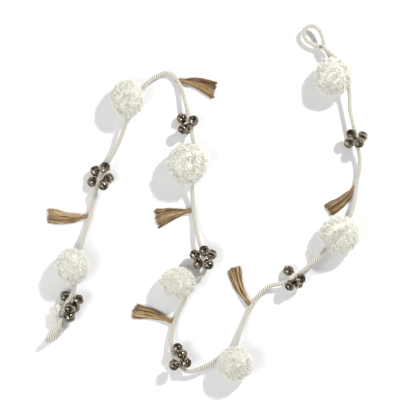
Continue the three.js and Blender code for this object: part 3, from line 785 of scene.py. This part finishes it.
# The shank: the radius of its ring and of its wire, and the height of the ring's middle
SHANK_RING = 0.0019
SHANK_WIRE = 0.00065
SHANK_HEIGHT = 0.0094
SHANK_STEPS = 24
SHANK_SIDES = 8
# Edges sharper than this many radians show as creases
SHARP_FROM = 0.6
# Corners of a CAD bell that are this close to the furthest one are at the tip of its shank too
TIP_SLACK = 0.00003


def turned(profile, around):
    """A closed skin from a profile of (radius, height) rows that starts and ends on the axis: a
    ring for each inner row and one corner for each end."""
    angle = np.arange(around) / around * 2 * np.pi
    out, up = profile[1:-1, :1], profile[1:-1, 1:]
    rings = np.stack(
        [out * np.cos(angle), out * np.sin(angle), np.repeat(up, around, axis=1)], axis=-1)
    return closed_rings(rings, [0, 0, profile[0, 1]], [0, 0, profile[-1, 1]])


def slot_cutter(turn):
    """A slot's outline, straight sides with a round hole at each end, drawn through the skin."""
    opening = np.pi - np.arcsin(SLOT_HALF / HOLE_RADIUS)
    sweep = np.linspace(-opening, opening, HOLE_POINTS)
    right = np.stack([SLOT_END + HOLE_RADIUS * np.cos(sweep), HOLE_RADIUS * np.sin(sweep)], axis=1)
    outline = np.vstack([right, -right])
    cos, sin = np.cos(turn), np.sin(turn)
    outline = outline @ np.array([[cos, sin], [-sin, cos]])
    count = len(outline)
    corners = np.vstack([
        np.column_stack([outline, np.full(count, height)]) for height in (CUT_FROM, CUT_TO)])
    a = np.arange(count)
    b = (a + 1) % count
    return corners, [np.stack([a, b, b + count, a + count], axis=-1), np.stack([a[::-1], a + count])]


def dome(rise, reach):
    """Profile of a squarish dome, (out, up) for each rise in degrees: |out|^p + |up|^p = reach^p."""
    rise = np.radians(rise)
    out, up = np.cos(rise), np.sin(rise)
    size = reach / (np.abs(out) ** DOME_POWER + np.abs(up) ** DOME_POWER) ** (1 / DOME_POWER)
    return np.stack([size * out, size * up], axis=1)


# Steel with an antique nickel plate, pressed and tumbled: dark grey-brown, glossy, duller in
# patches about 4 mm across, with a painted highlight along the seam
nickel, tree, shader = new_material("antique_nickel_plate", Metallic=1.0)
place = add_node(tree, "ShaderNodeTexCoord")
patches = add_node(
    tree, "ShaderNodeTexNoise", {"Vector": place.outputs["Object"], "Scale": 260.0, "Detail": 3.0})
plate = add_node(
    tree, "ShaderNodeMix", {0: patches.outputs["Fac"], 6: linear("#53493C"), 7: linear("#9A8E7D")},
    data_type="RGBA")
worn = add_node(tree, "ShaderNodeAttribute", attribute_name="worn")
# Painted highlight: the seam's colour goes to a pale bright grey
highlighted = add_node(
    tree, "ShaderNodeMix", {0: worn.outputs["Fac"], 6: plate.outputs[2], 7: linear("#CFC6B6")},
    data_type="RGBA")
tree.links.new(highlighted.outputs[2], shader.inputs["Base Color"])
rubbed = add_node(tree, "ShaderNodeMapRange", {"Value": patches.outputs["Fac"], 3: 0.04, 4: 0.13})
tree.links.new(rubbed.outputs[0], shader.inputs["Roughness"])
# Tumbling leaves very shallow dents about 3 mm across, which bend what the plate mirrors
dents = add_node(
    tree, "ShaderNodeTexNoise", {"Vector": place.outputs["Object"], "Scale": 330.0, "Detail": 0.0})
bump = add_node(
    tree, "ShaderNodeBump", {"Height": dents.outputs["Fac"], "Strength": 1.0, "Distance": 0.00022})
tree.links.new(bump.outputs["Normal"], shader.inputs["Normal"])

# The two halves meet in a flat pressed seam that stands out round the middle
flank = dome(np.linspace(-90, -SEAM_RISE, OUTER_ROWS), BELL_RADIUS)
root = flank[-1, 0] + SEAM_STEP
seam_below = np.array([
    [root, -1.5 * RIM_HALF], [RIM_RADIUS - RIM_ROUNDING, -RIM_HALF], [RIM_RADIUS, -0.5 * RIM_HALF]])
lower_half = np.vstack([flank, seam_below])
outer = np.vstack([lower_half, lower_half[::-1] * [1, -1]])
inside = dome(np.linspace(90, -90, INNER_ROWS), BELL_RADIUS - BELL_WALL)
skins = joined(turned(outer, BELL_AROUND), turned(inside, BELL_AROUND))
shell = make_piece("bell_shell", *skins, nickel)
for turn in (0, np.pi / 2):
    cutter = make_piece("slot_cutter", *slot_cutter(turn), nickel)
    cut = shell.modifiers.new("slot", "BOOLEAN")
    cut.operation = "DIFFERENCE"
    cut.solver = "EXACT"
    cut.object = cutter
cut_shell = shell.evaluated_get(bpy.context.evaluated_depsgraph_get())
shell_mesh = bpy.data.meshes.new_from_object(cut_shell)
for spare in [shell] + [modifier.object for modifier in shell.modifiers]:
    bpy.data.objects.remove(spare)

# The shank is a ring of wire that stands on the top of the bell
ring_turn = np.linspace(0, 2 * np.pi, SHANK_STEPS + 1)
ring_out = np.stack([np.cos(ring_turn), 0 * ring_turn, np.sin(ring_turn)], axis=1)
shank = tube(
    SHANK_RING * ring_out + SHANK_HEIGHT * UP, ring_out,
    np.full((SHANK_STEPS + 1, SHANK_SIDES), SHANK_WIRE))
shell_corners = np.array([v.co for v in shell_mesh.vertices])
corner_counts = sorted({len(face.vertices) for face in shell_mesh.polygons})
shell_faces = [
    np.array([face.vertices[:] for face in shell_mesh.polygons if len(face.vertices) == count])
    for count in corner_counts
]
bell_corners, bell_faces = joined((shell_corners, shell_faces), shank)
# The seam's painted highlight grows from a quarter of its way out
out_on_seam = np.linalg.norm(bell_corners[:, :2], axis=1) - BELL_RADIUS
seam_brightening = np.clip(out_on_seam / (RIM_RADIUS - BELL_RADIUS) * 1.6 - 0.4, 0, 1)


def bell_place(node):
    """Centre and axes of a CAD bell. Its middle, weighed by the areas of its triangles, and the two
    furthest corners, on its shank, lie in the plane of the ring; the axis runs between them."""
    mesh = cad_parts[node].data
    points = np.empty(len(mesh.vertices) * 3)
    mesh.vertices.foreach_get("co", points)
    points = points.reshape(-1, 3)
    mesh.calc_loop_triangles()
    corners = np.empty(len(mesh.loop_triangles) * 3, dtype=np.int32)
    mesh.loop_triangles.foreach_get("vertices", corners)
    triangles = points[corners.reshape(-1, 3)]
    edges = triangles[:, 1:] - triangles[:, :1]
    area = np.linalg.norm(np.cross(edges[:, 0], edges[:, 1]), axis=1)
    middle = np.average(triangles.mean(axis=1), axis=0, weights=area)
    reach = np.linalg.norm(points - middle, axis=1)
    furthest = points[reach > reach.max() - TIP_SLACK]
    one = furthest[0]
    other = furthest[np.argmax(np.linalg.norm(furthest - one, axis=1))]
    upward = unit((one + other) / 2 - middle)
    wide = unit(other - one - np.dot(other - one, upward) * upward)
    # The ring's furthest corners stand at 60 degrees on it
    tip_height = SHANK_HEIGHT + (SHANK_RING + SHANK_WIRE) * np.sin(np.pi / 3)
    centre = (one + other) / 2 - upward * tip_height
    return centre, np.stack([wide, np.cross(upward, wide), upward])


for name in sorted(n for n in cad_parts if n.startswith("bell_") and "thread" not in n):
    centre, axes = bell_place(name)
    piece = make_piece(
        name + "_shell", bell_corners @ axes + centre, bell_faces, nickel, worn=seam_brightening)
    piece.data.set_sharp_from_angle(angle=SHARP_FROM)
    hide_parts(name)

# Frayed knot: the cotton rope's end, taken round the standing strand at the root of the lower loop,
# knotted and combed out. Fibres stand out from the knot, and wisps of them lie down beside it.

KNOT_SEED = 300
KNOT_MIDDLE = np.array([-0.2505, -0.1655, 0.0125])
KNOT_CORE = np.array([0.0058, 0.0058, 0.0062])
TUFT_FIBRES = 700
TUFT_REACH = 0.0092
# Fibres are up to this much longer where they point to the left and the lower edge, which count so
# much, and the tuft is a little flat
TUFT_LONGER = 0.009
TUFT_LEFT = 0.8
TUFT_LOWER = 0.5
TUFT_SHAPE = np.array([1, 1, 0.85])
WISPS = 520
WISP_MIDDLE = [-0.2535, -0.1615, 0.0065]
WISP_SPREAD = [0.0072, 0.0092, 0.003]
WISP_ARCH = 0.004
# A wisp's way along to these powers gives its way across, along and down
WISP_POWERS = [0.9, 0.9, 0.6]
# A fibre's rings: how far along it each stands, how thick it is and how much painted deep shade it
# has
FIBRE_SHARE = np.array([0.2, 0.5, 0.75, 0.9, 1.0])
FIBRE_TAPER = np.array([1, 1, 1, 0.9, 0.5])
FIBRE_DEPTH = np.array([0.8, 0.5, 0.2, 0.05, 0])
FIBRE_RADIUS = (0.0003, 0.0006)
FIBRE_CURL = 0.0014
FIBRE_CURL_TURN = 7
FIBRE_CLEARANCE = 0.0047
KNOT_CLEARANCE = 0.0045

rng = np.random.default_rng(KNOT_SEED)
way = ball_directions(TUFT_FIBRES, rng, shake=1.0)
lower_left = np.clip(-way[:, 0] * TUFT_LEFT - way[:, 1] * TUFT_LOWER, 0, 1)
reach = TUFT_REACH + TUFT_LONGER * lower_left**2 * rng.uniform(0.2, 1, TUFT_FIBRES)
tuft = KNOT_MIDDLE + way[:, None] * (FIBRE_SHARE * reach[:, None])[..., None] * TUFT_SHAPE

# Wisps end in an oval beside the knot, come down early and arch a little on the way
spot = rng.normal(0, 1, (WISPS, 3)) * WISP_SPREAD + WISP_MIDDLE
rise = np.sin(np.pi * FIBRE_SHARE)[:, None] * rng.uniform(0, WISP_ARCH, (WISPS, 1, 1)) * UP
wisps = KNOT_MIDDLE + (spot - KNOT_MIDDLE)[:, None] * FIBRE_SHARE[:, None] ** WISP_POWERS + rise

lines = np.concatenate([tuft, wisps])
count = len(lines)
trend = unit(lines[:, -1] - lines[:, 0])
lines = curled(lines, trend, FIBRE_CURL * FIBRE_SHARE**2, FIBRE_CURL_TURN * FIBRE_SHARE, rng)
lines = off_floor(clear_of_rope(lines, FIBRE_CLEARANCE), FIBRE_RADIUS[1])
thick = rng.uniform(*FIBRE_RADIUS, (count, 1)) * FIBRE_TAPER
core_corners, core_faces = ball(KNOT_CORE, rng)
core = (clear_of_rope(KNOT_MIDDLE + core_corners, KNOT_CLEARANCE), core_faces)
corners, faces = joined(strands(lines, thick), core)
per_fibre = len(FIBRE_SHARE) * STRAND_SIDES
tone_values = np.concatenate([
    np.repeat(rng.uniform(0, 1, count), per_fibre), np.zeros(len(core_corners))])
# How deep each corner lies, which the material paints with shade
inner_values = np.concatenate([
    np.tile(np.repeat(FIBRE_DEPTH, STRAND_SIDES), count), np.ones(len(core_corners))])
# Combed out, cotton looks like the pompoms' yarn and has its material
piece = make_piece(
    "frayed_knot_tuft", corners, faces, yarn_stuff, tone=tone_values, inner=inner_values)
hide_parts("frayed_knot")

# Floor and light: a plain white floor, a key light from the upper right that throws the shadows to
# the lower left, a weaker soft one from the lower left, and a dim room with bright screens in it.

FLOOR_HALF = 6.0
FLOOR_DROP = 0.0002
# A row for each light: its name, the way to it from the middle of the view, its size in metres, its
# power in watts and its distance
LIGHTS = [
    {"name": "key", "way": (0.68, 0.75, 1.0), "size": 0.18, "power": 58, "distance": 2.6},
    {"name": "fill", "way": (-0.75, -0.3, 1.0), "size": 1.5, "power": 27, "distance": 2.4},
]
ROOM_STRENGTH = 0.45

# White paper: matte, with nothing on it to catch the eye
paper, tree, shader = new_material("white_paper", Roughness=0.9, Base_Color=linear("#F2F2F2"))
floor_corners = FLOOR_HALF * np.array([[-1, -1, 0], [1, -1, 0], [1, 1, 0], [-1, 1, 0]])
floor_mesh = bpy.data.meshes.new("floor")
floor_mesh.from_pydata((floor_corners - FLOOR_DROP * UP).tolist(), [], [(0, 1, 2, 3)])
floor_mesh.materials.append(paper)
floor = bpy.data.objects.new("floor", floor_mesh)
bpy.context.scene.collection.objects.link(floor)

for row in LIGHTS:
    light = bpy.data.objects.new(row["name"], bpy.data.lights.new(row["name"], "AREA"))
    light.data.shape = "DISK"
    light.data.size = row["size"]
    light.data.energy = row["power"]
    way = Vector(row["way"])
    light.location = Vector((*VIEW_MIDDLE, 0)) + way.normalized() * row["distance"]
    light.rotation_euler = way.to_track_quat("Z", "Y").to_euler()
    bpy.context.scene.collection.objects.link(light)

# The room's light from the horizon, where Z is 0, to straight above, where it is 1: bright walls
# and a dim ceiling. A blurred pattern makes parts of it dark and others bright screens, which the
# bells mirror.
world = bpy.data.worlds.new("studio")
bpy.context.scene.world = world
world.use_nodes = True
tree = world.node_tree
direction = add_node(tree, "ShaderNodeTexCoord")
parts = add_node(tree, "ShaderNodeSeparateXYZ", {0: direction.outputs["Generated"]})
room = add_node(tree, "ShaderNodeValToRGB", {"Fac": parts.outputs["Z"]})
room.color_ramp.elements[0].color = (0.9, 0.9, 0.9, 1)
room.color_ramp.elements[1].color = (0.25, 0.25, 0.25, 1)
room.color_ramp.elements.new(0.6).color = (0.9, 0.9, 0.9, 1)
room.color_ramp.elements.new(0.85).color = (0.4, 0.4, 0.4, 1)
screens = add_node(
    tree, "ShaderNodeTexNoise",
    {"Vector": direction.outputs["Generated"], "Scale": 2.6, "Detail": 0.0})
contrast = add_node(
    tree, "ShaderNodeMapRange", {"Value": screens.outputs["Fac"], 1: 0.49, 2: 0.57, 3: 0.04, 4: 3.8})
# The walls near the horizon are plain
high_up = add_node(tree, "ShaderNodeMapRange", {"Value": parts.outputs["Z"], 1: 0.06, 2: 0.2})
lit = add_node(
    tree, "ShaderNodeMix", {0: high_up.outputs[0], 6: room.outputs["Color"], 7: contrast.outputs[0]},
    data_type="RGBA", blend_type="MULTIPLY")
background = tree.nodes["Background"]
tree.links.new(lit.outputs[2], background.inputs["Color"])
background.inputs["Strength"].default_value = ROOM_STRENGTH

bpy.context.scene.view_settings.view_transform = "Standard"
